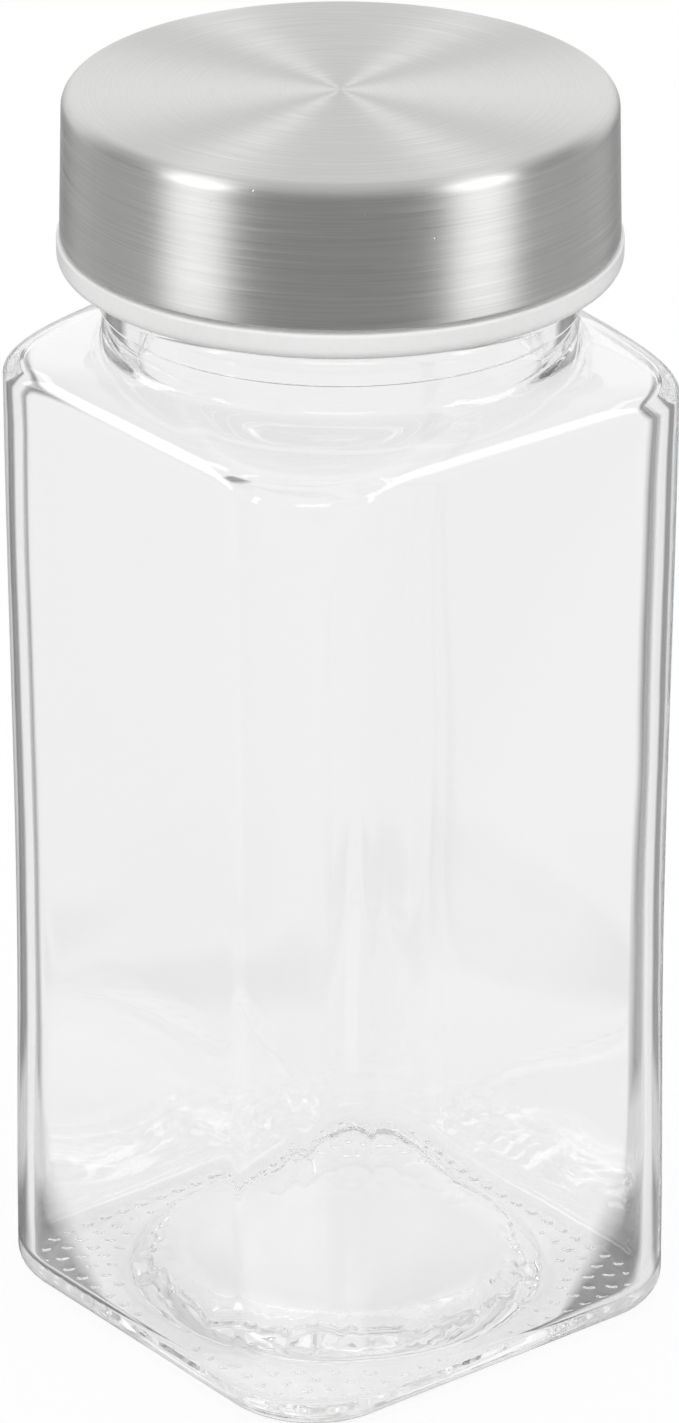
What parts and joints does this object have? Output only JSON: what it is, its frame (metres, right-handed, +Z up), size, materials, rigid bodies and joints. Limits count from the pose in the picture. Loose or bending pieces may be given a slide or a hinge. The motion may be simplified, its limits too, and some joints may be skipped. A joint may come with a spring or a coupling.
{
  "type": "salt shaker",
  "caption": "Square clear glass salt shaker with a sifter insert in its round neck and a brushed steel screw cap over a translucent plastic inner cap.",
  "frame": {"origin": "on the table, under the middle of the square base", "axes": "+Z up along the axis of the neck and cap; +X and +Y square to two neighbouring flat sides"},
  "size_m": [0.0448, 0.0448, 0.1052],
  "materials": {
    "clear_glass": "clear soda-lime glass, fire polished, with a stippled bearing band",
    "white_plastic": "moulded white polypropylene",
    "foam_liner": "white polyethylene foam",
    "translucent_plastic": "moulded natural polypropylene, milky and slightly glossy",
    "brushed_steel": "drawn stainless steel, brushed in rings on the top and round the side"
  },
  "bodies": {
    "jar": {"glass_jar": "clear_glass", "shaker_insert": "white_plastic"},
    "liner": {"cap_liner": "foam_liner"},
    "cap": {"inner_cap": "translucent_plastic", "steel_cap_shell": "brushed_steel"}
  },
  "joints": [
    {"name": "cap_rise", "type": "slide", "parent": "jar", "child": "liner", "axis": [0, 0, 1], "range_m": [0, 0.01693]},
    {"name": "cap_turn", "type": "hinge", "parent": "liner", "child": "cap", "pos_m": [0, 0, 0.1], "axis": [0, 0, 1], "range_deg": [0, 1440]}
  ],
  "couplings": [
    {"joint": "cap_rise", "follows": "cap_turn", "m_per_rad": 0.0006737}
  ]
}
